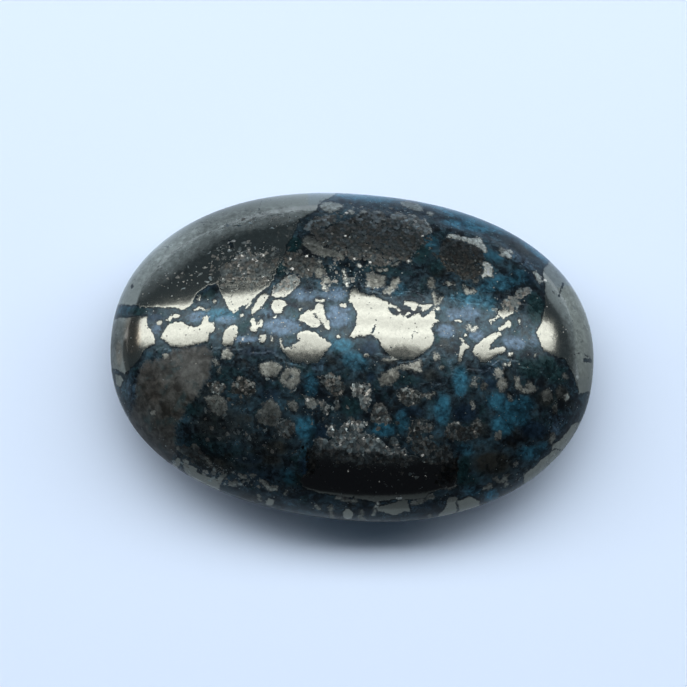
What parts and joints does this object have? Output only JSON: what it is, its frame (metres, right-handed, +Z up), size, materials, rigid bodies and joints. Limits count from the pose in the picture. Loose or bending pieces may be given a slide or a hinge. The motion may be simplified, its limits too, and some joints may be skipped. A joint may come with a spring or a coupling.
{
  "type": "turquoise cabochon",
  "caption": "Polished oval cabochon of dark blue turquoise with golden pyrite matrix, domed on top, drawn in under the girdle to a flat back.",
  "frame": {"origin": "middle of the flat back", "axes": "+X along the stone, +Z up through the crown"},
  "size_m": [0.03, 0.0208, 0.009],
  "materials": {
    "polished_stone": null
  },
  "bodies": {
    "root": {"turquoise_cabochon": "polished_stone"}
  },
  "joints": []
}
